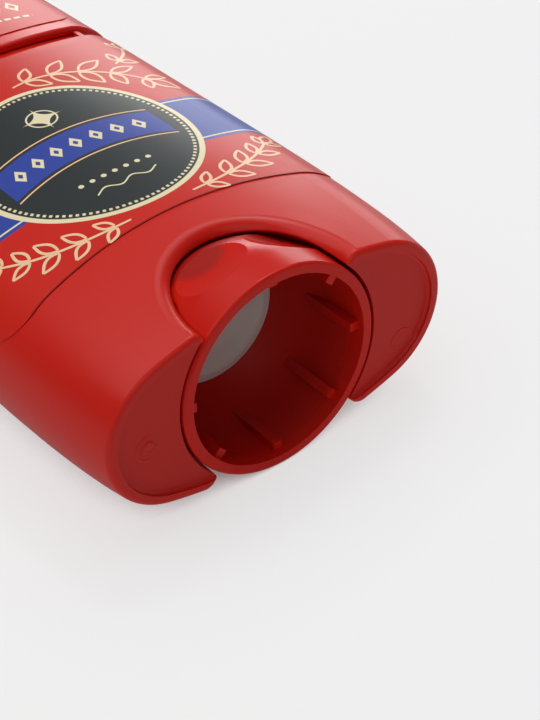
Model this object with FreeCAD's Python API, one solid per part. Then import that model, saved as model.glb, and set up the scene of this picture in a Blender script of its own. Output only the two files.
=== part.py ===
"""Twist-up deodorant stick: moulded oval barrel on two crescent feet, round
base knob with its screw spindle, elevator cup with the stick of deodorant,
and a lift-off cap.

All lengths are millimetres. The stick stands on its feet at z = 0, +Z points
to the cap, the label faces -Y, and the screw axis is the Z axis.
"""
import FreeCAD, Part
import math
import os

from FreeCAD import Vector

# Barrel outline
base_half_width = 28.0
half_depth = 14.35
side_radius = 12.0
foot_flare = 2.6
foot_flare_height = 12.0
top_taper = 0.8
shoulder_middle = 74.9
shoulder_rise = 3.3
foot_edge_radius = 0.8
barrel_wall = 2.3

# Barrel neck and the groove below the cap
neck_inset = 1.25
neck_top = 86.0
neck_edge_radius = 0.3
groove_height = 3.3
stop_rib_width = 1.0
stop_rib_inset = 0.45
stop_rib_x = 21.8

# Feet
foot_rim_side = 1.5
foot_rim_front = 1.2
foot_rim_tip = 2.7
foot_bend_radius = 4.0
foot_recess = 0.65
foot_plate = 1.6
foot_corner_radius = 0.45

# Knob
knob_radius = 16.0
knob_rim_z = 0.4
knob_straight = 5.0
knob_shoulder = 17.1
knob_top = 17.6
knob_wall = 1.6
knob_ceiling_wall = 1.0
knob_top_opening = 7.8
knob_rim_radius = 0.45
knob_turn = 2.0
scoop_count = 8
scoop_turn = 29.5
scoop_depth = 0.95
scoop_tool_radius = 26.0
scoop_height = 9.0
grip_rib_count = 8
grip_rib_width = 1.4
grip_rib_stand = 1.35
grip_rib_setback = 1.2

# Well for the knob and the arches in the front and back walls
well_gap = 0.45
well_edge_radius = 0.3
well_wall = 1.6
well_ceiling_gap = 0.6
arch_half_width = 11.6
arch_spring = 2.0
arch_top = 15.9
arch_lip = 2.0

# Spindle
shaft_radius = 4.25
shaft_spare = 1.0
shaft_point = 2.0
shaft_tip_chamfer = 1.4
journal_radius = 5.5
journal_clearance = 0.06
flange_thickness = 1.1
flange_side_gap = 0.12
flange_ring_width = 1.8
flange_ring_slope = 1.0
flange_ring_depth = 0.35
boss_gap = 0.1
collar_gap = 0.25
snap_radius = 6.6
snap_thickness = 1.2
snap_gap = 0.25

# Elevator
travel = 45.0
slide_gap = 0.4
floor_gap = 0.35
elevator_skirt_wall = 1.1
elevator_rim = 6.0
elevator_plate = 1.5
plate_lift = 10.0
nut_radius = 6.6
nut_stand = 1.5
nut_clearance = 0.06
under_rib_depth = 3.0
under_rib_count = 6
under_rib_width = 1.2

# Stick of deodorant
stick_gap = 0.1
stick_bore_gap = 0.35
stick_stand = 10.0
stick_crown_radius = 8.5

# Cap
cap_top = 118.0
cap_proud = 0.25
cap_wall = 1.2
cap_top_wall = 1.8
cap_taper = 0.5
cap_crown_radius = 5.0
cap_lip_radius = 0.55
cap_seat_gap = 0.25

# Printed films
film = 0.12
film_glue = 0.03
label_half_width = 28.4
label_bottom_middle = 23.3
label_bottom_drop = 3.2
label_top_margin = 1.8
label_corner_radius = 4.0
cap_label_half_width = 24.0
cap_label_margin = 3.2
cap_label_top_margin = 10.6
cap_label_corner_radius = 3.5

CENTRE = Vector(0, 0, 0)
UP = Vector(0, 0, 1)
# How far cutting shapes run past the piece they cut: widely, and just clear of it
reach = cap_top / 2
below = 3.0
# How near a point must be to count as lying on a surface
near = 0.01
# Heights of the barrel's sections, as shares of the flare's height
section_shares = (0.4, 1.0, 1.7, 2.5, 3.5, 4.7, 5.8)


def half_width_at(z):
    """Half width of the barrel: quick flare above the feet, slow draw-in above."""
    flare = foot_flare * (1 - math.exp(-z / foot_flare_height))
    return base_half_width + flare - top_taper * z / shoulder_middle


def oval(half_width, depth, corner, z):
    """Closed wire of four tangent arcs: two small sides and two wide faces."""
    face = ((half_width - corner) ** 2 + depth ** 2 - corner ** 2) / (2 * (depth - corner))
    lean = math.atan2(half_width - corner, face - depth)
    jx = half_width - corner + corner * math.sin(lean)
    jy = corner * math.cos(lean)
    front_left = Vector(-jx, -jy, z)
    front_right = Vector(jx, -jy, z)
    back_right = Vector(jx, jy, z)
    back_left = Vector(-jx, jy, z)
    edges = [
        Part.Arc(front_left, Vector(0, -depth, z), front_right).toShape(),
        Part.Arc(front_right, Vector(half_width, 0, z), back_right).toShape(),
        Part.Arc(back_right, Vector(0, depth, z), back_left).toShape(),
        Part.Arc(back_left, Vector(-half_width, 0, z), front_left).toShape(),
    ]
    return Part.Wire(edges)


def barrel_form(offset, low, high):
    """Solid with the barrel's outline, grown by offset, between two heights."""
    bends = [foot_flare_height * share for share in section_shares]
    levels = [low] + [z for z in bends if low + below < z < high - below] + [high]
    wires = [
        oval(half_width_at(z) + offset, half_depth + offset, side_radius + offset, z)
        for z in levels
    ]
    return Part.makeLoft(wires, True, False)


def oval_block(half_width, depth, corner, low, high):
    """Straight oval block between two heights."""
    face = Part.Face(oval(half_width, depth, corner, low))
    return face.extrude(Vector(0, 0, high - low))


def revolved(points):
    """Solid of revolution about Z from (radius, height) corners."""
    outline = [Vector(r, 0, z) for r, z in points]
    face = Part.Face(Part.makePolygon(outline + outline[:1]))
    return face.revolve(CENTRE, UP, 360)


def domed(radius, shoulder, low, top):
    """Solid of revolution: straight side, then a round shoulder, flat top.

    The shoulder is an arc that leaves the straight side without a kink.
    """
    centre = Vector(radius - shoulder, 0, knob_straight)
    turn = math.asin((top - knob_straight) / shoulder)

    def on_shoulder(angle):
        return centre + Vector(shoulder * math.cos(angle), 0, shoulder * math.sin(angle))

    side_end = on_shoulder(0)
    top_end = on_shoulder(turn)
    arc = Part.Arc(side_end, on_shoulder(turn / 2), top_end).toShape()
    corners = [top_end, Vector(0, 0, top), Vector(0, 0, low), Vector(radius, 0, low), side_end]
    straight = [Part.makeLine(start, end) for start, end in zip(corners, corners[1:])]
    return Part.Face(Part.Wire([arc] + straight)).revolve(CENTRE, UP, 360)


def shoulder_radius_at(z, radius, shoulder):
    """Radius of such a shoulder at a height."""
    return radius - shoulder + math.sqrt(shoulder ** 2 - (z - knob_straight) ** 2)


def bowed_block(middle, rise, half_width, high):
    """Block above a surface that is lowest in the middle and rises to both sides."""
    left = Vector(-half_width, -reach, middle + rise)
    right = Vector(half_width, -reach, middle + rise)
    bow = Part.Arc(left, Vector(0, -reach, middle), right).toShape()
    sides = [
        Part.makeLine(right, Vector(half_width, -reach, high)),
        Part.makeLine(Vector(half_width, -reach, high), Vector(-half_width, -reach, high)),
        Part.makeLine(Vector(-half_width, -reach, high), left),
    ]
    face = Part.Face(Part.Wire([bow] + sides))
    return face.extrude(Vector(0, 2 * reach, 0))


def edges_where(shape, test):
    """Edges whose every sampled point passes the test."""
    found = []
    for edge in shape.Edges:
        first, last = edge.ParameterRange
        points = [edge.valueAt(first + (last - first) * k / 4) for k in range(5)]
        if all(test(p) for p in points):
            found.append(edge)
    return found


def shoulder_height_at(x):
    """Height of the barrel's bowed shoulder line at x."""
    half_width = half_width_at(shoulder_middle)
    bow_radius = (half_width ** 2 + shoulder_rise ** 2) / (2 * shoulder_rise)
    return shoulder_middle + bow_radius - math.sqrt(bow_radius ** 2 - x ** 2)


def bow_block(lift, high):
    """Block above the shoulder line, lifted by a height."""
    outer = half_width_at(shoulder_middle) + below
    middle = shoulder_middle + lift
    rise = shoulder_height_at(outer) - shoulder_middle
    return bowed_block(middle, rise, outer, high)


def well_form(growth, top):
    """The knob's space in the barrel's base, grown by a wall or a gap."""
    return domed(knob_radius + growth, knob_shoulder + growth, -below, top)


well_ceiling = knob_top + well_ceiling_gap
floor_top = well_ceiling + well_wall
snap_low = floor_top + snap_gap
snap_top = snap_low + snap_thickness


def arch_pocket():
    """Pocket with an elliptic head that opens the front wall for the knob."""
    centre = Vector(0, -reach, arch_spring)
    crown = Vector(0, -reach, arch_top)
    side = Vector(arch_half_width, -reach, arch_spring)
    tall = arch_top - arch_spring > arch_half_width
    ellipse = Part.Ellipse(crown, side, centre) if tall else Part.Ellipse(side, crown, centre)
    deep = reach - half_depth / 2
    head = Part.Face(Part.Wire(ellipse.toShape())).extrude(Vector(0, deep, 0))
    leg = Part.makeBox(
        2 * arch_half_width, deep, arch_spring + 2 * below,
        Vector(-arch_half_width, -reach, -2 * below))
    return head.fuse(leg).removeSplitter()


def barrel_shape():
    """The moulded barrel: outer form, feet, knob well, arches, bore and neck."""
    body = barrel_form(0, -below, neck_top).cut(bow_block(0, cap_top))
    pocket = arch_pocket()
    body = body.cut(pocket).cut(pocket.mirror(CENTRE, Vector(0, 1, 0)))

    def on_arch(p):
        across = p.x / arch_half_width
        up = max(p.z - arch_spring, 0) / (arch_top - arch_spring)
        return abs(math.hypot(across, up) - 1) < near and abs(p.y) > half_depth / 2

    lips = [e for e in edges_where(body, on_arch) if e.BoundBox.ZLength > below / 2]
    body = body.makeFillet(arch_lip, lips)
    body = body.cut(Part.makeBox(2 * reach, 2 * reach, reach, Vector(-reach, -reach, -reach)))
    well_radius = knob_radius + well_gap
    foot_edges = edges_where(
        body, lambda p: abs(p.z) < near and math.hypot(p.x, p.y) > well_radius + foot_edge_radius)
    body = body.makeFillet(foot_edge_radius, foot_edges)

    body = body.cut(well_form(well_gap, well_ceiling))

    def on_well_rim(p):
        if not -near < p.z < well_ceiling - near:
            return False
        side = shoulder_radius_at(max(p.z, knob_straight), well_radius, knob_shoulder + well_gap)
        return abs(math.hypot(p.x, p.y) - side) < near

    well_edges = [e for e in edges_where(body, on_well_rim) if e.BoundBox.ZLength > 2 * well_edge_radius]
    body = body.makeFillet(well_edge_radius, well_edges)

    neck = barrel_form(-neck_inset, shoulder_middle - below, neck_top)
    neck_edges = edges_where(neck, lambda p: abs(p.z - neck_top) < near)
    neck = neck.makeFillet(neck_edge_radius, neck_edges)
    body = body.fuse(neck)

    chamber = barrel_form(-barrel_wall, foot_recess + foot_plate, neck_top + below)
    chamber = chamber.cut(well_form(well_gap + well_wall, floor_top))
    body = body.cut(chamber)
    body = body.cut(Part.makeCylinder(journal_radius + journal_clearance, floor_top + below))

    recess = oval_block(
        base_half_width - foot_rim_side, half_depth - foot_rim_front,
        side_radius - foot_rim_side, -below, foot_recess)
    tip_wall = half_depth - foot_rim_tip
    recess = recess.common(Part.makeBox(
        2 * reach, 2 * tip_wall, 2 * reach, Vector(-reach, -tip_wall, -reach)))
    bends = edges_where(recess, lambda p: abs(abs(p.y) - tip_wall) < near)
    recess = recess.makeFillet(
        foot_bend_radius, [e for e in bends if e.BoundBox.ZLength > foot_recess / 2])
    floor_edges = edges_where(recess, lambda p: abs(p.z - foot_recess) < near)
    recess = recess.makeFillet(foot_corner_radius, floor_edges)
    recess = recess.cut(Part.makeCylinder(knob_radius, 4 * below, Vector(0, 0, -2 * below)))
    body = body.cut(recess)

    body = body.fuse(stop_ribs())
    return body.removeSplitter()


def stop_ribs():
    """Four small ribs on the neck that the cap's edge sits down on."""
    ribs = []
    low = shoulder_middle - below
    ring = barrel_form(-stop_rib_inset, low, neck_top)
    ring = ring.cut(barrel_form(-(neck_inset + barrel_wall) / 2, low, neck_top))
    ring = ring.cut(bow_block(groove_height - cap_seat_gap, cap_top))
    for side in (-1, 1):
        slab = Part.makeBox(
            stop_rib_width, 2 * reach, reach,
            Vector(side * stop_rib_x - stop_rib_width / 2, -reach, shoulder_middle))
        ribs.append(ring.common(slab))
    return ribs[0].fuse(ribs[1])


def knob_shape():
    """Hollow round knob: round shoulder, finger scoops, ribs inside."""
    knob = domed(knob_radius, knob_shoulder, knob_rim_z, knob_top)
    rim_edges = edges_where(knob, lambda p: abs(p.z - knob_rim_z) < near)
    top_edges = edges_where(
        knob, lambda p: abs(p.z - knob_top) < near and math.hypot(p.x, p.y) > knob_top_opening)
    knob = knob.makeFillet(knob_rim_radius, rim_edges + top_edges)

    side = shoulder_radius_at(scoop_height, knob_radius, knob_shoulder)
    lean = math.asin((scoop_height - knob_straight) / knob_shoulder)
    stand = scoop_tool_radius - scoop_depth
    centre_x = side + stand * math.cos(lean)
    centre_z = scoop_height + stand * math.sin(lean)
    tool = Part.makeCylinder(
        scoop_tool_radius, 2 * knob_radius, Vector(centre_x, -knob_radius, centre_z),
        Vector(0, 1, 0))
    for k in range(scoop_count):
        scoop = tool.copy()
        scoop.rotate(CENTRE, UP, scoop_turn + 360.0 * k / scoop_count)
        knob = knob.cut(scoop)

    cavity = domed(
        knob_radius - knob_wall, knob_shoulder - knob_wall,
        knob_rim_z - below, knob_top - knob_ceiling_wall)
    rib_low = knob_rim_z + grip_rib_setback
    rib_top = knob_top - knob_ceiling_wall - flange_thickness
    rib = Part.makeBox(
        knob_radius, grip_rib_width, rib_top - rib_low,
        Vector(knob_radius - knob_wall - grip_rib_stand, -grip_rib_width / 2, rib_low))
    for k in range(grip_rib_count):
        one = rib.copy()
        one.rotate(CENTRE, UP, knob_turn + 360.0 * k / grip_rib_count)
        cavity = cavity.cut(one)
    knob = knob.cut(cavity)
    return knob.cut(Part.makeCylinder(knob_top_opening, knob_top + below))


def spindle_shape():
    """Screw spindle: wide flange in the knob, boss, journal, snap ring and shaft."""
    ceiling = knob_top - knob_ceiling_wall
    flange_low = ceiling - flange_thickness

    def inner_radius(z):
        return shoulder_radius_at(z, knob_radius - knob_wall, knob_shoulder - knob_wall)

    flange_rim = inner_radius(flange_low) - flange_side_gap
    boss_radius = knob_top_opening - boss_gap
    boss_top = well_ceiling - collar_gap
    points = [
        (0, flange_low + flange_ring_depth),
        (flange_rim - flange_ring_width - flange_ring_slope, flange_low + flange_ring_depth),
        (flange_rim - flange_ring_width, flange_low),
        (flange_rim, flange_low),
        (inner_radius(ceiling) - flange_side_gap, ceiling),
        (boss_radius, ceiling),
        (boss_radius, boss_top),
        (journal_radius, boss_top),
        (journal_radius, snap_low),
        (snap_radius, snap_low),
        (journal_radius, snap_top),
        (shaft_radius, snap_top),
        (shaft_radius, shaft_top - shaft_point),
        (shaft_radius - shaft_tip_chamfer, shaft_top),
        (0, shaft_top),
    ]
    return revolved(points)


elevator_low = floor_top + floor_gap
plate_top = elevator_low + plate_lift + elevator_plate
rim_top = plate_top + elevator_rim
nut_top = plate_top + nut_stand
shaft_top = nut_top + travel + shaft_spare
stick_top = neck_top + stick_stand
slide_half_width = half_width_at(neck_top) - barrel_wall - slide_gap
slide_half_depth = half_depth - barrel_wall - slide_gap
slide_corner = side_radius - barrel_wall - slide_gap


def slide_block(inset, low, high):
    """Oval block that runs in the bore, made smaller by an inset."""
    return oval_block(
        slide_half_width - inset, slide_half_depth - inset, slide_corner - inset, low, high)


def elevator_shape():
    """Elevator: oval cup, plate, nut on the screw, guide skirt and ribs below."""
    cup = slide_block(0, elevator_low, rim_top)
    cup = cup.cut(slide_block(elevator_skirt_wall, plate_top, rim_top + below))
    under = slide_block(elevator_skirt_wall, elevator_low - below, elevator_low + plate_lift)
    cup = cup.cut(under)
    nut_low = snap_top + snap_gap
    cup = cup.fuse(Part.makeCylinder(nut_radius, nut_top - nut_low, Vector(0, 0, nut_low)))
    rib_low = elevator_low + plate_lift - under_rib_depth
    block = slide_block(elevator_skirt_wall / 2, elevator_low, plate_top)
    for k in range(under_rib_count):
        rib = Part.makeBox(
            slide_half_width, under_rib_width, under_rib_depth,
            Vector(0, -under_rib_width / 2, rib_low))
        rib.rotate(CENTRE, UP, 360.0 * k / under_rib_count)
        cup = cup.fuse(rib.common(block))
    cup = cup.cut(Part.makeCylinder(shaft_radius + nut_clearance, shaft_top))
    return cup.removeSplitter()


def stick_shape():
    """The stick of deodorant: oval block with a crowned top, cast round the nut."""
    block = slide_block(0, rim_top + stick_gap, stick_top)
    crown = edges_where(block, lambda p: abs(p.z - stick_top) < near)
    block = block.makeFillet(stick_crown_radius, crown)
    root = slide_block(elevator_skirt_wall + stick_gap, plate_top + stick_gap, rim_top + below)
    stick = block.fuse(root)
    stick = stick.cut(Part.makeCylinder(
        nut_radius + stick_gap, nut_top + stick_gap - plate_top + below,
        Vector(0, 0, plate_top - below)))
    stick = stick.cut(Part.makeCylinder(
        shaft_radius + stick_bore_gap, shaft_top + shaft_point - plate_top,
        Vector(0, 0, plate_top)))
    return stick.removeSplitter()


def cap_form(offset, low, high):
    """Solid with the cap's outline, grown by offset, between two heights."""
    start = half_width_at(shoulder_middle)
    wires = []
    for z in (low, high):
        share = (z - shoulder_middle) / (cap_top - shoulder_middle)
        grow = cap_proud + offset - cap_taper * share
        wires.append(oval(start + grow, half_depth + grow, side_radius + grow, z))
    return Part.makeLoft(wires, True, True)


def cap_shape():
    """Lift-off cap: oval shell with a crowned top and a bowed lower lip."""
    cap = cap_form(0, shoulder_middle, cap_top)
    crown = edges_where(cap, lambda p: abs(p.z - cap_top) < near)
    cap = cap.makeFillet(cap_crown_radius, crown)
    ceiling = cap_top - cap_top_wall
    hollow = cap_form(-cap_wall, shoulder_middle - below, ceiling)
    inner_crown = edges_where(hollow, lambda p: abs(p.z - ceiling) < near)
    hollow = hollow.makeFillet(cap_crown_radius - cap_wall, inner_crown)
    cap = cap.common(bow_block(groove_height, cap_top + below))
    lip = edges_where(
        cap, lambda p: abs(p.z - shoulder_height_at(p.x) - groove_height) < 5 * near)
    cap = cap.makeFillet(cap_lip_radius, lip)
    return cap.cut(hollow)


def film_prism(half_width, low_middle, low_rise, top_block, corner):
    """Prism of a film's outline: bowed lower edge, upper edge along a block."""
    prism = bowed_block(low_middle, low_rise, half_width, cap_top + below)
    front = Part.makeBox(2 * reach, reach, 2 * reach, Vector(-reach, -reach, 0))
    prism = prism.common(front).cut(top_block)
    corners = [
        e for e in prism.Edges
        if e.BoundBox.YLength > reach / 2 and abs(abs(e.BoundBox.XMin) - half_width) < near
        and e.BoundBox.XLength < near and e.BoundBox.ZLength < near
    ]
    return prism.makeFillet(corner, corners)


def front_label_shape():
    """Printed film on the front of the barrel, wrapped onto both sides."""
    prism = film_prism(
        label_half_width, label_bottom_middle, -label_bottom_drop,
        bow_block(-label_top_margin, cap_top + 2 * below), label_corner_radius)
    outer = barrel_form(film_glue + film, -below, neck_top)
    skin = outer.cut(barrel_form(film_glue, -below, neck_top))
    return skin.common(prism)


def cap_label_shape():
    """Printed film on the front of the cap."""
    low = shoulder_middle + groove_height + cap_label_margin
    rise = shoulder_height_at(cap_label_half_width) - shoulder_middle
    top_block = bow_block(cap_top - cap_label_top_margin - shoulder_middle, cap_top + 2 * below)
    prism = film_prism(cap_label_half_width, low, rise, top_block, cap_label_corner_radius)
    outer = cap_form(film_glue + film, shoulder_middle, cap_top)
    skin = outer.cut(cap_form(film_glue, shoulder_middle, cap_top))
    return skin.common(prism)


def main():
    """Build every piece and write one STEP file for each."""
    os.makedirs("parts", exist_ok=True)
    pieces = {
        "barrel": barrel_shape(),
        "knob": knob_shape(),
        "spindle": spindle_shape(),
        "elevator": elevator_shape(),
        "deodorant_stick": stick_shape(),
        "cap": cap_shape(),
        "front_label": front_label_shape(),
        "cap_label": cap_label_shape(),
    }
    for name, shape in pieces.items():
        shape.exportStep(f"parts/{name}.step")
        print(name, shape.ShapeType, len(shape.Solids), shape.isValid(), round(shape.Volume, 1))


main()
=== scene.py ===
"""Looks of a deodorant stick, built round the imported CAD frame.

The pack lies on its back: its label faces -Y, +Z runs up to the cap, and the floor is the
plane y = +16.15 mm, just behind the knob. Sizes in the classes are in millimetres.
"""

import logging
import math
from dataclasses import dataclass, field
from enum import Enum
from typing import Dict, List, Optional, Sequence, Tuple, Union

import bmesh
import bpy
import numpy as np
from mathutils import Matrix, Vector

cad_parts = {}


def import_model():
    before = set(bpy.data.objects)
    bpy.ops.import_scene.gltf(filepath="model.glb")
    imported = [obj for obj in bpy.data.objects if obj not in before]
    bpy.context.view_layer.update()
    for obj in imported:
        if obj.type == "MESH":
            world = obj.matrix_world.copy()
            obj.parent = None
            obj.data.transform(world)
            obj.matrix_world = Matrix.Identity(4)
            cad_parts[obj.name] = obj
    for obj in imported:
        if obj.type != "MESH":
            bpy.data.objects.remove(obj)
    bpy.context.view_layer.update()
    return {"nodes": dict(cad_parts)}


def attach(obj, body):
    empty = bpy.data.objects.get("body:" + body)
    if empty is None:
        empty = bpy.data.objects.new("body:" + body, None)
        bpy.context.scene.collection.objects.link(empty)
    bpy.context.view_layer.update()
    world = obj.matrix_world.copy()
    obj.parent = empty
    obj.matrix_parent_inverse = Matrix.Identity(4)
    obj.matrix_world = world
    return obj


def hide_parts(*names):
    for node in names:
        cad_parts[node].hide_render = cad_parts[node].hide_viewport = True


LOG = logging.getLogger("deodorant_stick")
MM = 0.001
WELD = 1e-7
PLASTIC_IOR = 1.49
FILM_IOR = 1.5
STEEP = 0.95
STEEP_EDGE = 0.04
Colour = Tuple[float, float, float, float]
Point = Tuple[float, float]
Place = Tuple[float, float, float]
Value = Union["Field", bpy.types.NodeSocket, float, Sequence[float]]


class Shade(Enum):
    """Named colours of the pack, as 8-bit screen values."""

    MOULDED_RED = (204, 26, 12)
    CAP_RED = (206, 26, 13)
    LABEL_RED = (206, 34, 20)
    LABEL_EDGE = (120, 22, 18)
    BAND_BLUE = (52, 72, 160)
    CHARCOAL = (44, 50, 50)
    CREAM = (236, 224, 184)
    PEACH = (250, 204, 162)
    NATURAL = (214, 208, 200)
    ELEVATOR_WHITE = (226, 224, 218)
    STICK_WHITE = (232, 234, 226)
    FLOOR = (244, 244, 244)
    BACKDROP = (239, 239, 239)
    # Painted shade: the dark red that the floor shows in narrow gaps under the pack.
    PAINTED_GAP_SHADE = (58, 12, 10)

    @property
    def linear(self) -> Colour:
        """The colour in scene-linear values: a line near black, a power of 2.4 above it.

        Returns:
            Red, green, blue and a full alpha.
        """
        share = np.array(self.value) / 255.0
        low = share / 12.92
        high = ((share + 0.055) / 1.055) ** 2.4
        red, green, blue = np.where(share <= 0.04045, low, high).tolist()
        return (red, green, blue, 1.0)


def tint(base: Colour, share: float, lift: float = 0.0) -> Colour:
    """A colour times a share, plus a lift, with full alpha."""
    red, green, blue = (min(c * share + lift, 1.0) for c in base[:3])
    return (red, green, blue, 1.0)


def grey(level: float) -> Colour:
    """A grey of a linear level."""
    return (level, level, level, 1.0)


@dataclass(frozen=True)
class Grain:
    """Size of a noise: cells per metre, octaves, and its scale along the three axes."""

    scale: float
    detail: float = 3.0
    stretch: Place = (1.0, 1.0, 1.0)


class Graph:
    """A material's node tree with short ways to add nodes and formulas."""

    def __init__(self, name: str, world_tree: Optional[bpy.types.NodeTree] = None) -> None:
        """Makes an empty node material, or empties the world's tree.

        Args:
            name: The material's name.
            world_tree: The world's node tree, where the graph is the world's.
        """
        self.material = None
        if world_tree is None:
            self.material = bpy.data.materials.new(name)
            self.material.use_nodes = True
        self.tree = world_tree or self.material.node_tree
        self.tree.nodes.clear()
        kind = "ShaderNodeOutputWorld" if world_tree else "ShaderNodeOutputMaterial"
        self.output = self.tree.nodes.new(kind)

    def node(self, kind: str, **settings: object) -> bpy.types.Node:
        """Adds a node and sets its properties.

        Args:
            kind: The node's type name.
            **settings: Properties of the node.

        Returns:
            The new node.
        """
        made = self.tree.nodes.new(kind)
        for key, value in settings.items():
            setattr(made, key, value)
        return made

    def join(self, source: Value, target: bpy.types.NodeSocket) -> None:
        """Links a field or socket to an input, or writes a plain value into it.

        Args:
            source: Field, output socket, number or colour.
            target: Input socket.
        """
        if isinstance(source, Field):
            source = source.socket
        if isinstance(source, bpy.types.NodeSocket):
            self.tree.links.new(source, target)
        else:
            target.default_value = source

    def end(self, shader: bpy.types.Node) -> None:
        """Makes a shader node the graph's result."""
        self.join(shader.outputs[0], self.output.inputs[0])

    def axes(self, vector: bpy.types.NodeSocket) -> Tuple["Field", ...]:
        """The parts of a vector.

        Args:
            vector: Output socket.

        Returns:
            Three fields.
        """
        split = self.node("ShaderNodeSeparateXYZ")
        self.join(vector, split.inputs[0])
        return tuple(Field(self, part) for part in split.outputs)

    def place(self) -> bpy.types.NodeSocket:
        """The Object coordinate socket in metres."""
        return self.node("ShaderNodeTexCoord").outputs["Object"]

    def coordinates(self) -> Tuple["Field", ...]:
        """The piece's Object coordinates in millimetres, as three fields."""
        return tuple(part * (1 / MM) for part in self.axes(self.place()))

    def down(self) -> "Field":
        """1 where the surface faces straight down the piece's own axis."""
        normal = self.node("ShaderNodeTexCoord").outputs["Normal"]
        return (self.axes(normal)[2] + STEEP).inside(STEEP_EDGE)

    def noise(self, grain: Grain) -> "Field":
        """Fractal noise on Object coordinates.

        Args:
            grain: Its size.

        Returns:
            The noise from 0 to 1.
        """
        mapping = self.node("ShaderNodeMapping")
        mapping.inputs["Scale"].default_value = grain.stretch
        self.join(self.place(), mapping.inputs[0])
        noise = self.node("ShaderNodeTexNoise")
        noise.inputs["Scale"].default_value = grain.scale
        noise.inputs["Detail"].default_value = grain.detail
        self.join(mapping.outputs[0], noise.inputs["Vector"])
        return Field(self, noise.outputs[0])

    def ray(self, kind: str) -> "Field":
        """1 for the rays that Light Path has under a name, such as "Is Camera Ray"."""
        return Field(self, self.node("ShaderNodeLightPath").outputs[kind])

    def mix(self, share: Value, low: Value, high: Value) -> bpy.types.NodeSocket:
        """A colour between two colours.

        Args:
            share: 0 for the first colour, 1 for the second.
            low: First colour.
            high: Second colour.

        Returns:
            The mixed colour's socket.
        """
        mixer = self.node("ShaderNodeMix", data_type="RGBA")
        self.join(share, mixer.inputs[0])
        self.join(low, mixer.inputs[6])
        self.join(high, mixer.inputs[7])
        return mixer.outputs[2]

    def blend(self, share: Value, low: bpy.types.Node, high: bpy.types.Node) -> bpy.types.Node:
        """A shader between two shaders.

        Args:
            share: 0 for the first shader, 1 for the second.
            low: First shader's node.
            high: Second shader's node.

        Returns:
            The mixing node.
        """
        mixer = self.node("ShaderNodeMixShader")
        self.join(share, mixer.inputs[0])
        self.join(low.outputs[0], mixer.inputs[1])
        self.join(high.outputs[0], mixer.inputs[2])
        return mixer

    def relief(self, height: "Field", strength: float) -> bpy.types.NodeSocket:
        """Normals bent by a fine relief.

        Args:
            height: Height in millimetres.
            strength: Share of the bend that shows.

        Returns:
            The normal's socket.
        """
        bump = self.node("ShaderNodeBump")
        bump.inputs["Strength"].default_value = strength
        bump.inputs["Distance"].default_value = MM
        self.join(height, bump.inputs["Height"])
        return bump.outputs[0]

    def surface(
        self, colour: Value, roughness: Value, numbers: Dict[str, float],
        normal: Optional[bpy.types.NodeSocket] = None,
    ) -> bpy.types.Material:
        """Ends the graph in a plain surface shader.

        Args:
            colour: Base colour.
            roughness: Roughness from 0 to 1.
            numbers: Numbers that are the same all over the surface, by input name.
            normal: Bent normals, where the surface has a relief.

        Returns:
            The material.
        """
        shader = self.node("ShaderNodeBsdfPrincipled")
        self.join(colour, shader.inputs["Base Color"])
        self.join(roughness, shader.inputs["Roughness"])
        for key, number in numbers.items():
            shader.inputs[key].default_value = number
        if normal is not None:
            self.join(normal, shader.inputs["Normal"])
        self.end(shader)
        return self.material


class Field:
    """A number that varies over a surface, built up with math nodes."""

    def __init__(self, graph: Graph, socket: bpy.types.NodeSocket) -> None:
        """Wraps a socket.

        Args:
            graph: The material the socket belongs to.
            socket: The value's output socket.
        """
        self.graph = graph
        self.socket = socket

    def _do(self, operation: str, *others: Value, clamp: bool = False) -> "Field":
        """Adds one math node on this field.

        Args:
            operation: The node's operation.
            *others: Up to two more values.
            clamp: Keeps the result from 0 to 1.

        Returns:
            The result.
        """
        made = self.graph.node("ShaderNodeMath", operation=operation, use_clamp=clamp)
        for value, target in zip((self, *others), made.inputs):
            self.graph.join(value, target)
        return Field(self.graph, made.outputs[0])

    def __add__(self, other: Value) -> "Field":
        """Sum."""
        return self._do("ADD", other)

    def __sub__(self, other: Value) -> "Field":
        """Difference."""
        return self._do("SUBTRACT", other)

    def __mul__(self, other: Value) -> "Field":
        """Product."""
        return self._do("MULTIPLY", other)

    def __truediv__(self, other: Value) -> "Field":
        """Quotient."""
        return self._do("DIVIDE", other)

    def __abs__(self) -> "Field":
        """Absolute value."""
        return self._do("ABSOLUTE")

    def low(self, other: Value) -> "Field":
        """The smaller of two values."""
        return self._do("MINIMUM", other)

    def high(self, other: Value) -> "Field":
        """The larger of two values."""
        return self._do("MAXIMUM", other)

    def root(self) -> "Field":
        """Square root."""
        return self._do("SQRT")

    def sine(self) -> "Field":
        """Sine of radians."""
        return self._do("SINE")

    def angle(self, other: "Field") -> "Field":
        """Angle of the point (other, self) in radians."""
        return self._do("ARCTAN2", other)

    def folded(self, period: float) -> "Field":
        """Distance from the nearest whole multiple of a period."""
        return abs((self / period + 0.5)._do("FRACT") - 0.5) * period

    def inside(self, soft: float) -> "Field":
        """1 where the field is below zero, with a soft edge of a given width."""
        return (self * (-1 / soft) + 0.5)._do("ADD", 0.0, clamp=True)

    def spread(self, middle: float, swing: float) -> "Field":
        """A noise from 0 to 1, moved to lie about a middle with a given whole swing."""
        return self * swing + (middle - swing / 2)


def length(a: Field, b: Field) -> Field:
    """Length of a plane vector: the root of the sum of squares."""
    return (a * a + b * b).root()


def star(across: Field, up: Field, size: float) -> Field:
    """Four-pointed star: at its edge the roots of both distances add up to its size."""
    return abs(across).root() + abs(up).root() - size


Layer = Tuple[Field, Shade]


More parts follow.
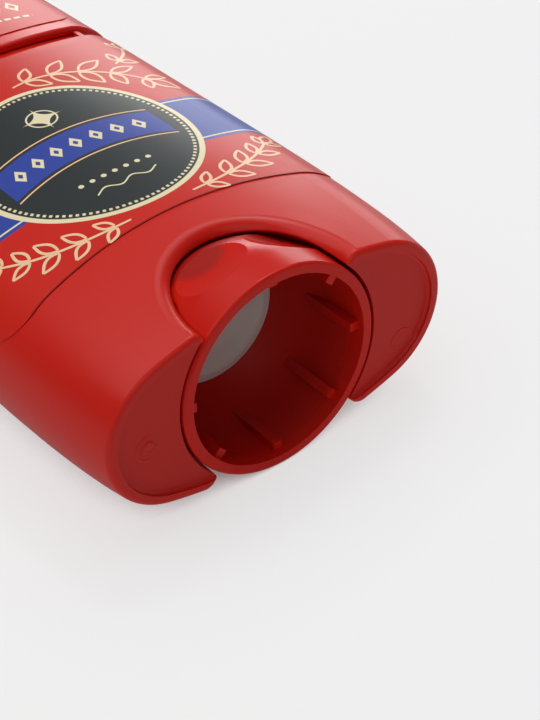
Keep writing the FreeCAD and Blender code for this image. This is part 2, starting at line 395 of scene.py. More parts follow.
@dataclass(frozen=True)
class MouldedPlastic:
    """Glossy injection-moulded plastic: faint mottling and slow changes of the sheen.

    A hollow radius paints shade on the walls within that distance of the upright axis, from
    the mouth inwards, as a darker red, and makes them rougher. A plate depth paints shade on
    the faces that look down at that height, as a slightly darker red, and makes them rougher.
    """

    name: str
    shade: Shade
    roughness: float = 0.235
    swing: float = 0.03
    mottle: float = 0.05
    lift: float = 0.002
    gloss: float = 0.26
    cloud: Grain = Grain(55.0, 4.0, (1.0, 1.0, 0.35))
    sheen: Grain = Grain(70.0, 1.0)
    hollow_radius: float = 0.0
    hollow_edge: float = 0.4
    hollow_low: float = 5.0
    hollow_ramp: float = 6.0
    hollow_painted_shade: float = 0.62
    hollow_rough: float = 0.25
    plate_depth: float = 0.0
    plate_reach: float = 0.15
    plate_edge: float = 0.1
    plate_painted_shade: float = 0.94
    plate_rough: float = 0.2

    def build(self) -> bpy.types.Material:
        """Makes the material.

        Returns:
            The node material.
        """
        graph = Graph(self.name)
        base = self.shade.linear
        light = tint(base, 1 + self.mottle, self.lift)
        colour = graph.mix(graph.noise(self.cloud), tint(base, 1 - self.mottle), light)
        rough = graph.noise(self.sheen).spread(self.roughness, self.swing)
        x, y, z = graph.coordinates()
        if self.hollow_radius:
            # Painted shade: the hollow's walls get a darker red where light hardly reaches, and a
            # rougher finish.
            inner = (length(x, y) - self.hollow_radius).inside(self.hollow_edge)
            inner = inner * (z * -1 + self.hollow_low).inside(self.hollow_ramp)
            colour = graph.mix(inner, colour, tint(base, self.hollow_painted_shade))
            rough = rough + inner * self.hollow_rough
        if self.plate_depth:
            # Painted shade: the recessed foot plates that face down get a slightly darker red,
            # and a rougher finish.
            plate = (abs(z - self.plate_depth) - self.plate_reach).inside(self.plate_edge)
            plate = plate * graph.down()
            colour = graph.mix(plate, colour, tint(base, self.plate_painted_shade, self.lift))
            rough = rough + plate * self.plate_rough
        return graph.surface(
            colour, rough, {"IOR": PLASTIC_IOR, "Specular IOR Level": self.gloss})


@dataclass(frozen=True)
class NaturalPolymer:
    """Milky uncoloured plastic that lets some light through."""

    name: str
    shade: Shade
    roughness: float = 0.38
    swing: float = 0.12
    dim: float = 0.93
    pass_light: float = 0.25
    scatter: float = 0.25
    scatter_depth: float = 0.003
    cloud: Grain = Grain(120.0, 4.0)
    sheen: Grain = Grain(700.0, 2.0)
    skin: Grain = Grain(1500.0, 2.0)
    skin_height: float = 0.01
    skin_strength: float = 0.3

    def build(self) -> bpy.types.Material:
        """Makes the material.

        Returns:
            The node material.
        """
        graph = Graph(self.name)
        base = self.shade.linear
        colour = graph.mix(graph.noise(self.cloud), tint(base, self.dim), base)
        rough = graph.noise(self.sheen).spread(self.roughness, self.swing)
        skin = graph.relief(graph.noise(self.skin) * self.skin_height, self.skin_strength)
        return graph.surface(colour, rough, {
            "IOR": PLASTIC_IOR, "Transmission Weight": self.pass_light,
            "Subsurface Weight": self.scatter, "Subsurface Scale": self.scatter_depth,
        }, skin)


@dataclass(frozen=True)
class WaxyStick:
    """Cast waxy stick: soft light under the skin, fine smear lines and small pits."""

    name: str
    shade: Shade
    roughness: float = 0.5
    swing: float = 0.2
    cool: Place = (0.9, 0.95, 0.97)
    scatter: float = 0.5
    scatter_depth: float = 0.004
    cloud: Grain = Grain(90.0, 5.0)
    sheen: Grain = Grain(400.0)
    smears: Grain = Grain(260.0, 4.0, (1.0, 5.0, 1.0))
    smear_height: float = 0.04
    pits: Grain = Grain(2600.0, 2.0)
    pit_height: float = 0.015
    skin_strength: float = 0.5

    def build(self) -> bpy.types.Material:
        """Makes the material.

        Returns:
            The node material.
        """
        graph = Graph(self.name)
        base = self.shade.linear
        cool = tuple(c * share for c, share in zip(base, (*self.cool, 1.0)))
        colour = graph.mix(graph.noise(self.cloud), cool, base)
        rough = graph.noise(self.sheen).spread(self.roughness, self.swing)
        height = graph.noise(self.smears) * self.smear_height
        height = height + graph.noise(self.pits) * self.pit_height
        return graph.surface(colour, rough, {
            "Subsurface Weight": self.scatter, "Subsurface Scale": self.scatter_depth,
        }, graph.relief(height, self.skin_strength))


@dataclass(frozen=True)
class PrintedInk:
    """Satin ink that lies on a film."""

    name: str
    shade: Shade
    roughness: float = 0.34
    swing: float = 0.04
    thin: float = 0.9
    cloud: Grain = Grain(900.0)
    sheen: Grain = Grain(80.0, 1.0)

    def build(self) -> bpy.types.Material:
        """Makes the material.

        Returns:
            The node material.
        """
        graph = Graph(self.name)
        base = self.shade.linear
        colour = graph.mix(graph.noise(self.cloud), tint(base, self.thin), base)
        rough = graph.noise(self.sheen).spread(self.roughness, self.swing)
        return graph.surface(colour, rough, {})


@dataclass(frozen=True)
class RedFilm:
    """Printed label film with a red ground and flat inks.

    All shapes on it are distance formulas of its x and z in millimetres.
    """

    name: str
    gloss: float = 0.2
    clouding: float = 0.95
    cloud: Grain = Grain(60.0)
    ink_edge: float = 0.06

    def ground(self, graph: Graph) -> bpy.types.NodeSocket:
        """The film's faintly clouded red."""
        red = Shade.LABEL_RED.linear
        return graph.mix(graph.noise(self.cloud), tint(red, self.clouding), red)

    def layer(self, shape: Field, shade: Shade) -> Layer:
        """The mask of a shape, where its distance is below zero, and its ink."""
        return (shape.inside(self.ink_edge), shade)

    def finish(self, graph: Graph, colour: Value, rough: Value) -> bpy.types.Material:
        """Ends the material with the film's gloss."""
        return graph.surface(
            colour, rough, {"IOR": FILM_IOR, "Specular IOR Level": self.gloss})


@dataclass(frozen=True)
class PrintedFilm(RedFilm):
    """Film of the front label: blue side bands and an oval medallion with a bowed ribbon."""

    roughness: float = 0.295
    swing: float = 0.02
    sheen: Grain = Grain(80.0, 1.0)
    edge_line: float = 0.25
    edge_soft: float = 0.15
    edge_share: float = 0.75
    band_low: float = 35.6
    band_high: float = 49.8
    band_inset: float = 0.9
    band_line: float = 0.16
    badge_middle: float = 44.9
    badge_half_width: float = 17.3
    badge_half_height: float = 18.6
    badge_rim: float = 0.85
    ticks: int = 110
    tick_half_angle: float = 0.014
    tick_soft: float = 0.006
    tick_inset: float = 1.45
    tick_half: float = 0.24
    star_up: float = 10.2
    star_size: float = 1.9
    star_soft: float = 0.04
    star_ring: float = 2.3
    star_ring_half: float = 0.14
    ribbon_half_width: float = 13.6
    ribbon_half_height: float = 3.5
    ribbon_middle: float = 44.0
    ribbon_bow: float = 2.2
    rule_gap: float = 0.7
    rule_half: float = 0.13
    lozenge_pitch: float = 3.4
    lozenge_slope: float = 0.62
    lozenge_half: float = 1.05
    lozenge_heart: float = 0.42
    lozenge_reach: float = 11.8
    dot_pitch: float = 1.9
    dot_down: float = 8.6
    dot_radius: float = 0.42
    dot_reach: float = 6.4
    wave_down: float = 11.6
    wave_turn: float = 1.4
    wave_height: float = 0.5
    wave_half: float = 0.15
    wave_reach: float = 5.2

    def build(self, outline: "LabelOutline") -> bpy.types.Material:
        """Makes the material.

        Args:
            outline: The label's edge lines.

        Returns:
            The node material.
        """
        graph = Graph(self.name)
        x, _, z = graph.coordinates()
        up = z - self.badge_middle
        band = abs(z - (self.band_low + self.band_high) / 2)
        band = band - (self.band_high - self.band_low) / 2
        line = abs(band + self.band_inset) - self.band_line
        bands = (self.layer(band, Shade.BAND_BLUE), self.layer(line, Shade.CREAM))
        colour = self.ground(graph)
        for mask, shade in (*bands, *self._medallion(x, up), *self._inner(x, z, up)):
            colour = graph.mix(mask, colour, shade.linear)
        edge = (outline.low_edge_distance(x, z) - self.edge_line).inside(self.edge_soft)
        colour = graph.mix(edge * self.edge_share, colour, Shade.LABEL_EDGE.linear)
        rough = graph.noise(self.sheen).spread(self.roughness, self.swing)
        return self.finish(graph, colour, rough)

    def _medallion(self, x: Field, up: Field) -> Tuple[Layer, ...]:
        """Charcoal oval with a cream rim, a ring of ticks and a ringed star.

        The distance from the oval is k (k - 1) over the length of k's slope, where k is the
        length of (x, up) in shares of the half axes.

        Args:
            x: Place across.
            up: Height over the medallion's middle.

        Returns:
            Masks and inks, the lowest first.
        """
        sx, sz = x / self.badge_half_width, up / self.badge_half_height
        k = length(sx, sz)
        slope = length(sx / self.badge_half_width, sz / self.badge_half_height)
        rim = k * (k - 1) / (slope + 1e-4)
        turn = sz.angle(sx).folded(math.tau / self.ticks)
        tick = (turn - self.tick_half_angle).inside(self.tick_soft)
        ring = (abs(rim + self.tick_inset) - self.tick_half).inside(self.ink_edge)
        over = up - self.star_up
        ball = abs(length(x, over) - self.star_ring) - self.star_ring_half
        return (
            self.layer(rim, Shade.CREAM), self.layer(rim + self.badge_rim, Shade.CHARCOAL),
            (tick * ring, Shade.CREAM),
            (star(x, over, self.star_size).inside(self.star_soft), Shade.CREAM),
            self.layer(ball, Shade.CREAM),
        )

    def _inner(self, x: Field, z: Field, up: Field) -> Tuple[Layer, ...]:
        """Ribbon bowed by a parabola, with rules and lozenges, and below it dots and a wave.

        Args:
            x: Place across.
            z: Height.
            up: Height over the medallion's middle.

        Returns:
            Masks and inks, the lowest first.
        """
        bow = x * x * (-self.ribbon_bow / self.ribbon_half_width ** 2) + self.ribbon_bow
        off = abs(z - self.ribbon_middle - bow)
        past = abs(x) - self.ribbon_half_width
        ends = abs(x) - self.lozenge_reach
        rule = abs(off - self.ribbon_half_height - self.rule_gap) - self.rule_half
        slant = x.folded(self.lozenge_pitch) + off * self.lozenge_slope
        dots = length(x.folded(self.dot_pitch), up + self.dot_down) - self.dot_radius
        line = (x * self.wave_turn).sine() * self.wave_height
        wave = abs(up + self.wave_down - line) - self.wave_half
        return (
            self.layer((off - self.ribbon_half_height).high(past), Shade.BAND_BLUE),
            self.layer(rule.high(past), Shade.PEACH),
            self.layer((slant - self.lozenge_half).high(ends), Shade.CREAM),
            self.layer((slant - self.lozenge_heart).high(ends), Shade.BAND_BLUE),
            self.layer(dots.high(abs(x) - self.dot_reach), Shade.CREAM),
            self.layer(wave.high(abs(x) - self.wave_reach), Shade.CREAM),
        )


@dataclass(frozen=True)
class CapFilm(RedFilm):
    """Film of the cap: a chain of open lozenges, a row of dashes and a ringed star in cream."""

    roughness: float = 0.29
    reach: float = 18.2
    pitch: float = 3.4
    chain_height: float = 90.8
    chain_slope: float = 0.62
    chain_half: float = 1.25
    chain_hole: float = 0.62
    dash_height: float = 86.4
    dash_half_length: float = 0.55
    dash_half: float = 0.34
    star_height: float = 98.6
    star_size: float = 1.9
    star_ring: float = 2.9
    star_ring_half: float = 0.2

    def build(self) -> bpy.types.Material:
        """Makes the material.

        Returns:
            The node material.
        """
        graph = Graph(self.name)
        x, _, z = graph.coordinates()
        ends = abs(x) - self.reach
        slant = x.folded(self.pitch) + abs(z - self.chain_height) * self.chain_slope
        chain = (slant - self.chain_half).high(slant * -1 + self.chain_hole)
        dash = x.folded(self.pitch / 2) - self.dash_half_length
        dash = dash.high(abs(z - self.dash_height) - self.dash_half)
        over = z - self.star_height
        ring = abs(length(x, over) - self.star_ring) - self.star_ring_half
        colour = self.ground(graph)
        for shape in (chain.high(ends), dash.high(ends), star(x, over, self.star_size), ring):
            colour = graph.mix(shape.inside(self.ink_edge), colour, Shade.CREAM.linear)
        return self.finish(graph, colour, self.roughness)


@dataclass(frozen=True)
class LabelOutline:
    """Edge lines of the front label: a lower edge that bows up in the middle."""

    half_width: float = 28.4
    low_middle: float = 23.3
    low_drop: float = 3.2

    @property
    def bow_radius(self) -> float:
        """Radius of the lower edge's arc."""
        return (self.half_width ** 2 + self.low_drop ** 2) / (2 * self.low_drop)

    def low_edge_distance(self, x: Field, z: Field) -> Field:
        """Distance above the lower edge: distance from the arc's centre, less its radius."""
        centre = self.low_middle - self.bow_radius
        return length(x, z - centre) - self.bow_radius


@dataclass
class BarrelForm:
    """The barrel's outer form, the same formulas as its solid.

    The section is an oval of four tangent arcs. The half width grows quickly above the feet
    by an exponential flare and draws in slowly towards the cap.
    """

    base_half_width: float = 28.0
    half_depth: float = 14.35
    side_radius: float = 12.0
    foot_flare: float = 2.6
    foot_flare_height: float = 12.0
    top_draw_in: float = 0.8
    shoulder_middle: float = 74.9

    def half_width(self, z: np.ndarray) -> np.ndarray:
        """Half width at heights z."""
        flare = self.foot_flare * (1 - np.exp(-z / self.foot_flare_height))
        return self.base_half_width + flare - self.top_draw_in * z / self.shoulder_middle

    def front(self, x: np.ndarray, z: np.ndarray, lift: float) -> np.ndarray:
        """Points on the front of the form.

        The wide arc gives y from its circle's equation; past the joint the small side arc does.

        Args:
            x: Places across, in millimetres.
            z: Heights, in millimetres.
            lift: Distance in front of the form.

        Returns:
            Points in metres, with a last axis of three.
        """
        wide = self.half_width(z) + lift
        depth = self.half_depth + lift
        corner = self.side_radius + lift
        face = ((wide - corner) ** 2 + depth ** 2 - corner ** 2) / (2 * (depth - corner))
        lean = np.arctan2(wide - corner, face - depth)
        joint = wide - corner + corner * np.sin(lean)
        on_face = face - depth - np.sqrt(np.maximum(face ** 2 - x ** 2, 0))
        on_side = -np.sqrt(np.maximum(corner ** 2 - (np.abs(x) - wide + corner) ** 2, 0))
        y = np.where(np.abs(x) < joint, on_face, on_side)
        return np.stack([x, y, z], axis=-1) * MM


def paint(piece: bpy.types.Object, material: bpy.types.Material) -> None:
    """Gives a piece its material as its only one."""
    piece.data.materials.clear()
    piece.data.materials.append(material)


def grid_object(
    name: str, grids: Sequence[np.ndarray], crease: Optional[float] = None,
) -> bpy.types.Object:
    """One smooth object from several point grids.

    Args:
        name: The object's name.
        grids: Arrays of points, rows by columns by three, in metres.
        crease: Edges sharper than this angle in degrees stay sharp, and seams and poles are
            welded; without it the grids stay open.

    Returns:
        The linked object, its place in its mesh.
    """
    points: List[np.ndarray] = []
    quads: List[np.ndarray] = []
    start = 0
    for grid in grids:
        rows, columns = grid.shape[:2]
        index = np.arange(rows * columns).reshape(rows, columns) + start
        around = (index[:-1, :-1], index[:-1, 1:], index[1:, 1:], index[1:, :-1])
        quads.append(np.stack([c.ravel() for c in around], axis=1))
        points.append(grid.reshape(-1, 3))
        start += rows * columns
    mesh = bpy.data.meshes.new(name)
    mesh.from_pydata(np.concatenate(points).tolist(), [], np.concatenate(quads).tolist())
    mesh.polygons.foreach_set("use_smooth", np.ones(len(mesh.polygons), bool))
    if crease is not None:
        shell = bmesh.new()
        shell.from_mesh(mesh)
        bmesh.ops.remove_doubles(shell, verts=shell.verts, dist=WELD)
        shell.to_mesh(mesh)
        shell.free()
        mesh.set_sharp_from_angle(angle=math.radians(crease))
    mesh.update()
    made = bpy.data.objects.new(name, mesh)
    bpy.context.scene.collection.objects.link(made)
    return made


def upright_turn(
    radius: np.ndarray, turn: np.ndarray, z: np.ndarray, centre: Point = (0.0, 0.0),
) -> np.ndarray:
    """Grid of the points (r cos t, r sin t, z) about an upright axis.

    Args:
        radius: Radii in millimetres.
        turn: Angles in radians.
        z: Heights in millimetres.
        centre: Place of the axis in x and y, in millimetres.

    Returns:
        The grid in metres.
    """
    x = centre[0] + radius * np.cos(turn)
    y = centre[1] + radius * np.sin(turn)
    return np.stack([x, y, np.broadcast_to(z, x.shape)], axis=-1) * MM


def closed_turn(
    profile: np.ndarray, centre: Point, steps: int = 48, ragged: float = 0.0,
) -> np.ndarray:
    """Grid of a profile turned once about an upright axis.

    Raggedness scales the radius at the angle t by 1 + ragged (0.6 sin 3t + 0.4 sin 7t).

    Args:
        profile: Points (r, z) in millimetres.
        centre: Place of the axis in x and y, in millimetres.
        steps: Steps round the turn.
        ragged: Share by which the radius wanders.

    Returns:
        The grid in metres.
    """
    turn = np.linspace(0, math.tau, steps + 1)[:, None]
    wander = 1 + ragged * (0.6 * np.sin(3 * turn) + 0.4 * np.sin(7 * turn))
    return upright_turn(profile[None, :, 0] * wander, turn, profile[None, :, 1], centre)


def turned_arc(profile: np.ndarray, centre: Point, span: Point, steps: int = 40) -> np.ndarray:
    """Grid of a profile turned over part of a turn, sinking to its first height at both ends.

    At the share s of the arc, heights over the first one are scaled by (sin pi s) ^ 0.35.

    Args:
        profile: Points (r, z) in millimetres.
        centre: Place of the axis in x and y, in millimetres.
        span: First and last angle in radians.
        steps: Steps along the arc.

    Returns:
        The grid in metres.
    """
    share = np.linspace(0, 1, steps + 1)[:, None]
    turn = span[0] + (span[1] - span[0]) * share
    swell = np.maximum(np.sin(math.pi * share), 0) ** 0.35
    z = profile[None, :, 1]
    height = z[:, :1] + (z - z[:, :1]) * swell
    return upright_turn(profile[None, :, 0], turn, height, centre)


def stroke(line: np.ndarray, half: np.ndarray, side: int) -> np.ndarray:
    """Flat ribbon along a line: each point moves half a width to both sides of its direction.

    Args:
        line: Points along the line, count by two.
        half: Half width at each point.
        side: 1, or -1 where the line is mirrored in x.

    Returns:
        Plane points, count by three by two, in millimetres.
    """
    ahead = np.gradient(line, axis=0)
    ahead = ahead / np.linalg.norm(ahead, axis=1)[:, None]
    across = np.stack([-ahead[:, 1], ahead[:, 0]], axis=1) * half[:, None]
    offsets = np.array([1.0, 0.0, -1.0])[None, :, None]
    ribbon = (line[:, None, :] + across[:, None, :] * offsets) * np.array([side, 1.0])
    return ribbon if side > 0 else ribbon[:, ::-1]


@dataclass(frozen=True)
class Sprig:
    """A leafy twig drawn in outline: a bent stem, pairs of leaves and one leaf at its tip."""

    bend: Tuple[Point, ...]
    pairs: int
    leaf_length: float
    leaf_width: float
    lean: float
    pen: float = 0.235
    pen_end: float = 0.75
    first: float = 0.1
    last: float = 0.95
    fullest: float = 0.45
    shrink: float = 0.35
    stalk: float = 0.5
    bow: float = 0.1
    tip_size: float = 0.9
    stem_points: int = 60
    leaf_points: int = 26

    def stem(self, share: np.ndarray) -> Tuple[np.ndarray, np.ndarray]:
        """Places and directions on the stem, a cubic Bezier curve of its four bend points.

        Args:
            share: Shares of the stem from 0 to 1.

        Returns:
            Points and unit directions, count by two.
        """
        a, b, c, d = (np.array(p)[None, :] for p in self.bend)
        t = share[:, None]
        u = 1 - t
        place = u ** 3 * a + 3 * u ** 2 * t * b + 3 * u * t ** 2 * c + t ** 3 * d
        ahead = u ** 2 * (b - a) + 2 * u * t * (c - b) + t ** 2 * (d - c)
        return place, ahead / np.linalg.norm(ahead, axis=1)[:, None]

    def leaf(
        self, root: np.ndarray, ahead: np.ndarray, size: float, bow: float,
    ) -> List[np.ndarray]:
        """Both edges of one leaf: its half width is a sine of the share along it ^ 0.85.

        Args:
            root: Where the leaf starts.
            ahead: Its direction.
            size: Its size as a share of the full leaf.
            bow: How far its tip bends sideways, as a share of its length.

        Returns:
            The two edge lines.
        """
        share = np.linspace(0, 1, self.leaf_points)[:, None]
        across = np.array([-ahead[1], ahead[0]])[None, :]
        middle = root + ahead * (self.leaf_length * size * share)
        middle = middle + across * (bow * self.leaf_length * size * share ** 2)
        belly = self.leaf_width * size * np.sin(math.pi * share ** 0.85)
        return [middle + across * belly, middle - across * belly]

    def lines(self) -> List[np.ndarray]:
        """All lines of the twig in the label's plane.

        Leaves are fullest just under the stem's middle and shrink evenly to both ends.

        Returns:
            Lines of points, count by two, in millimetres.
        """
        found = [self.stem(np.linspace(0, 1, self.stem_points))[0]]
        shares = np.linspace(self.first, self.last, self.pairs)
        for share, place, head in zip(shares, *self.stem(shares)):
            size = 1 - self.shrink * abs(2 * share - 2 * self.fullest)
            for turn in (1, -1):
                angle = math.radians(self.lean) * turn
                cos, sin = math.cos(angle), math.sin(angle)
                ahead = np.array([[cos, -sin], [sin, cos]]) @ head
                found += self.leaf(place + ahead * self.stalk, ahead, size, self.bow * turn)
        tip, head = self.stem(np.array([1.0]))
        return found + self.leaf(tip[0], head[0], self.tip_size, 0.0)

    def ribbons(self, form: BarrelForm, lift: float, side: int) -> List[np.ndarray]:
        """The twig's pen lines laid on the barrel, thinner at their ends.

        Args:
            form: The form that they lie on.
            lift: Height above the form in millimetres.
            side: 1, or -1 for the mirrored twig.

        Returns:
            Point grids in metres.
        """
        grids = []
        for line in self.lines():
            share = np.linspace(0, 1, len(line))
            swell = np.sin(math.pi * share) ** 0.5
            half = self.pen * (self.pen_end + (1 - self.pen_end) * swell)
            flat = stroke(line, half, side)
            grids.append(form.front(flat[..., 0], flat[..., 1], lift))
        return grids


@dataclass
class BarrelPack:
    """The barrel with its label: moulded red body, printed film, line work and mould marks.

    The marks' profiles are points (r, z) with z measured from the foot's plate.
    """

    nodes: Dict[str, bpy.types.Object]
    form: BarrelForm = field(default_factory=BarrelForm)
    label: LabelOutline = field(default_factory=LabelOutline)
    roughness: float = 0.3
    mark_roughness: float = 0.4
    ink_lift: float = 0.165
    foot_recess: float = 0.65
    gate_place: Point = (-21.6, 0.9)
    gate_arc: Point = (1.2, 4.9)
    nub_steps: int = 96
    nub_ragged: float = 0.12
    ejector_place: Point = (21.4, 6.4)
    mark_crease: float = 60.0
    ring_profile: Tuple[Point, ...] = (
        (1.65, 0.02), (1.7, -0.06), (1.85, -0.09), (2.0, -0.06), (2.05, 0.02))
    nub_profile: Tuple[Point, ...] = (
        (0.0, -0.08), (0.5, -0.12), (0.7, -0.22), (0.95, -0.14), (1.1, 0.02))
    sprigs: Tuple[Sprig, ...] = (
        Sprig(((5.2, 25.0), (12, 25.4), (18.5, 27.2), (22.7, 31.6)), 5, 4.1, 0.9, 38),
        Sprig(((1.6, 65.6), (8, 67.2), (15.8, 64.2), (20.6, 57.0)), 5, 5.4, 1.2, 42),
        Sprig(((19.2, 64.2), (22, 66.2), (23.6, 68.0), (24.3, 70.4)), 2, 3.8, 0.9, 45),
    )

    def dress(self) -> List[bpy.types.Object]:
        """Gives the CAD nodes their finishes and adds the line work and mould marks.

        Returns:
            The pieces of this sub-assembly.
        """
        # The foot recess also sets where shade is painted on the foot plates.
        body = MouldedPlastic(
            "moulded_red", Shade.MOULDED_RED, self.roughness, plate_depth=self.foot_recess)
        paint(self.nodes["barrel"], body.build())
        paint(self.nodes["front_label"], PrintedFilm("front_film").build(self.label))
        return [self.nodes["barrel"], self.nodes["front_label"], self.line_work(), self.marks()]

    def line_work(self) -> bpy.types.Object:
        """Leafy twigs in peach ink on both halves of the label.

        Returns:
            The piece.
        """
        grids: List[np.ndarray] = []
        for sprig in self.sprigs:
            for side in (1, -1):
                grids += sprig.ribbons(self.form, self.ink_lift, side)
        made = grid_object("label_sprigs", grids)
        paint(made, PrintedInk("peach_ink", Shade.PEACH).build())
        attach(made, "barrel")
        return made

    def marks(self) -> bpy.types.Object:
        """Rough gate nub with part of a ring on one foot, a plain ejector ring on the other.

        Returns:
            The piece.
        """
        plate = np.array([0.0, self.foot_recess])
        ring = np.array(self.ring_profile) + plate
        nub = np.array(self.nub_profile) + plate
        made = grid_object("mould_marks", [
            turned_arc(ring, self.gate_place, self.gate_arc),
            closed_turn(nub, self.gate_place, self.nub_steps, self.nub_ragged),
            closed_turn(ring, self.ejector_place),
        ], self.mark_crease)
        red = MouldedPlastic("mark_red", Shade.MOULDED_RED, self.mark_roughness)
        paint(made, red.build())
        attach(made, "barrel")
        return made


@dataclass(frozen=True)
class ThreadedSpindle:
    """The screw spindle as it is moulded: flange, boss, journal, snap ring and a real thread.

    The thread runs left-handed with two starts, so the stick rises with a positive turn.
    """

    flange_low: float = 15.5
    flange_high: float = 16.6
    rim_low: float = 10.18
    rim_high: float = 9.06
    ring_width: float = 1.8
    ring_slope: float = 0.6
    ring_depth: float = 0.5
    pip: Tuple[Point, ...] = ((0.0, 0.25), (0.9, 0.2), (1.1, 0.0))
    boss_radius: float = 7.7
    boss_top: float = 17.95
    journal_radius: float = 5.5
    snap_radius: float = 6.6
    snap_low: float = 20.05
    snap_top: float = 21.25
    crest: float = 4.25
    root: float = 3.5
    shaft_top: float = 77.15
    tip_radius: float = 2.85
    tip_top: float = 79.15
    lead: float = 6.0
    starts: int = 2
    ridge_half: float = 0.36
    flank: float = 0.16
    run_out: float = 1.5
    turn_points: int = 65
    height_points: int = 336
    edge: float = 0.15
    crease: float = 40.0
    foot_steps: int = 96
    tip_steps: int = 64

    def foot(self) -> np.ndarray:
        """Profile from the pip under the flange, across its dish and rim, up to the shaft.

        Returns:
            Points (r, z) in millimetres.
        """
        e, low, dish = self.edge, self.flange_low, self.flange_low + self.ring_depth
        inner = self.rim_low - self.ring_width
        return np.array([
            *((r, dish - drop) for r, drop in self.pip), (inner - self.ring_slope, dish),
            (inner, low), (self.rim_low - e, low), (self.rim_low, low + e),
            (self.rim_high + e, self.flange_high - e), (self.rim_high - e, self.flange_high),
            (self.boss_radius, self.flange_high), (self.boss_radius, self.boss_top - e),
            (self.boss_radius - e, self.boss_top), (self.journal_radius, self.boss_top),
            (self.journal_radius, self.snap_low), (self.snap_radius - e, self.snap_low),
            (self.snap_radius, self.snap_low + e), (self.journal_radius, self.snap_top),
            (self.crest, self.snap_top),
        ])

    def tip(self) -> np.ndarray:
        """Profile (r, z) of the plain end over the thread, in millimetres."""
        return np.array([
            (self.root, self.shaft_top), (self.tip_radius, self.tip_top - self.edge),
            (self.tip_radius - self.edge, self.tip_top), (0, self.tip_top)])

    def thread(self) -> np.ndarray:
        """Grid of the threaded shaft.

        The height and the turn give a phase, z starts / lead + starts t / tau. Its distance
        from a whole number makes a ridge with sloped flanks, which fades at both ends of the
        shaft. The lowest row has the crest's radius, to meet the foot.

        Returns:
            The grid in metres.
        """
        turn = np.linspace(0, math.tau, self.turn_points)[:, None]
        z = np.linspace(self.snap_top, self.shaft_top, self.height_points)[None, :]
        phase = z * self.starts / self.lead + self.starts * turn / math.tau
        away = np.abs(phase - np.round(phase))
        ridge = np.clip((self.ridge_half - away) / self.flank, 0, 1)
        fade = np.clip((self.shaft_top - z) / self.run_out, 0, 1)
        fade = fade * np.clip((z - self.snap_top) / self.run_out, 0, 1)
        level = self.root + (self.crest - self.root) * (ridge * fade)
        level[:, 0] = self.crest
        return upright_turn(level, turn, z)

    def build(self) -> bpy.types.Object:
        """Makes the spindle in place of its plain solid.

        Returns:
            The piece.
        """
        axis = (0.0, 0.0)
        made = grid_object("threaded_spindle", [
            closed_turn(self.foot(), axis, self.foot_steps), self.thread(),
            closed_turn(self.tip(), axis, self.tip_steps),
        ], self.crease)
        paint(made, NaturalPolymer("milky_spindle", Shade.NATURAL).build())
        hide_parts("spindle")
        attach(made, "knob")
        return made


@dataclass
class KnobDrive:
    """The turn knob and its screw spindle."""

    nodes: Dict[str, bpy.types.Object]
    gloss: float = 0.18
    hollow_radius: float = 14.6

    def dress(self) -> List[bpy.types.Object]:
        """Finishes the knob and makes the spindle.

        Returns:
            The pieces of this sub-assembly.
        """
        # The hollow radius sets where shade is painted on the walls of the knob's cavity.
        knob = MouldedPlastic(
            "knob_plastic", Shade.MOULDED_RED, gloss=self.gloss, hollow_radius=self.hollow_radius)
        paint(self.nodes["knob"], knob.build())
        return [self.nodes["knob"], ThreadedSpindle().build()]


@dataclass
class StickLift:
    """The elevator and the stick of deodorant."""

    nodes: Dict[str, bpy.types.Object]

    def dress(self) -> List[bpy.types.Object]:
        """Finishes the elevator and the stick.

        Returns:
            The pieces of this sub-assembly.
        """
        resin = NaturalPolymer("elevator_resin", Shade.ELEVATOR_WHITE)
        paint(self.nodes["elevator"], resin.build())
        paint(self.nodes["deodorant_stick"], WaxyStick("waxy_white", Shade.STICK_WHITE).build())
        return [self.nodes["elevator"], self.nodes["deodorant_stick"]]


@dataclass
class LiftOffCap:
    """The cap and its printed film."""

    nodes: Dict[str, bpy.types.Object]

    def dress(self) -> List[bpy.types.Object]:
        """Finishes the cap and its label.

        Returns:
            The pieces of this sub-assembly.
        """
        paint(self.nodes["cap"], MouldedPlastic("cap_red_plastic", Shade.CAP_RED).build())
        paint(self.nodes["cap_label"], CapFilm("cap_film").build())
        return [self.nodes["cap"], self.nodes["cap_label"]]


@dataclass(frozen=True)
class SoftBox:
    """A rectangular area lamp that faces a point, in millimetres and watts."""

    name: str
    place: Place
    aim: Place
    width: float
    height: float
    power: float

    def build(self) -> None:
        """Adds the lamp, with its height away from the floor, or along Z where it faces it."""
        data = bpy.data.lights.new(self.name, "AREA")
        data.shape = "RECTANGLE"
        data.size, data.size_y, data.energy = self.width * MM, self.height * MM, self.power
        lamp = bpy.data.objects.new(self.name, data)
        back = (Vector(self.place) - Vector(self.aim)).normalized()
        up = Vector((0, 0, 1)) if abs(back.y) > STEEP else Vector((0, -1, 0))
        side = up.cross(back).normalized()
        turn = Matrix((side, back.cross(side), back)).transposed().to_4x4()
        lamp.matrix_world = Matrix.Translation(Vector(self.place) * MM) @ turn
        bpy.context.scene.collection.objects.link(lamp)


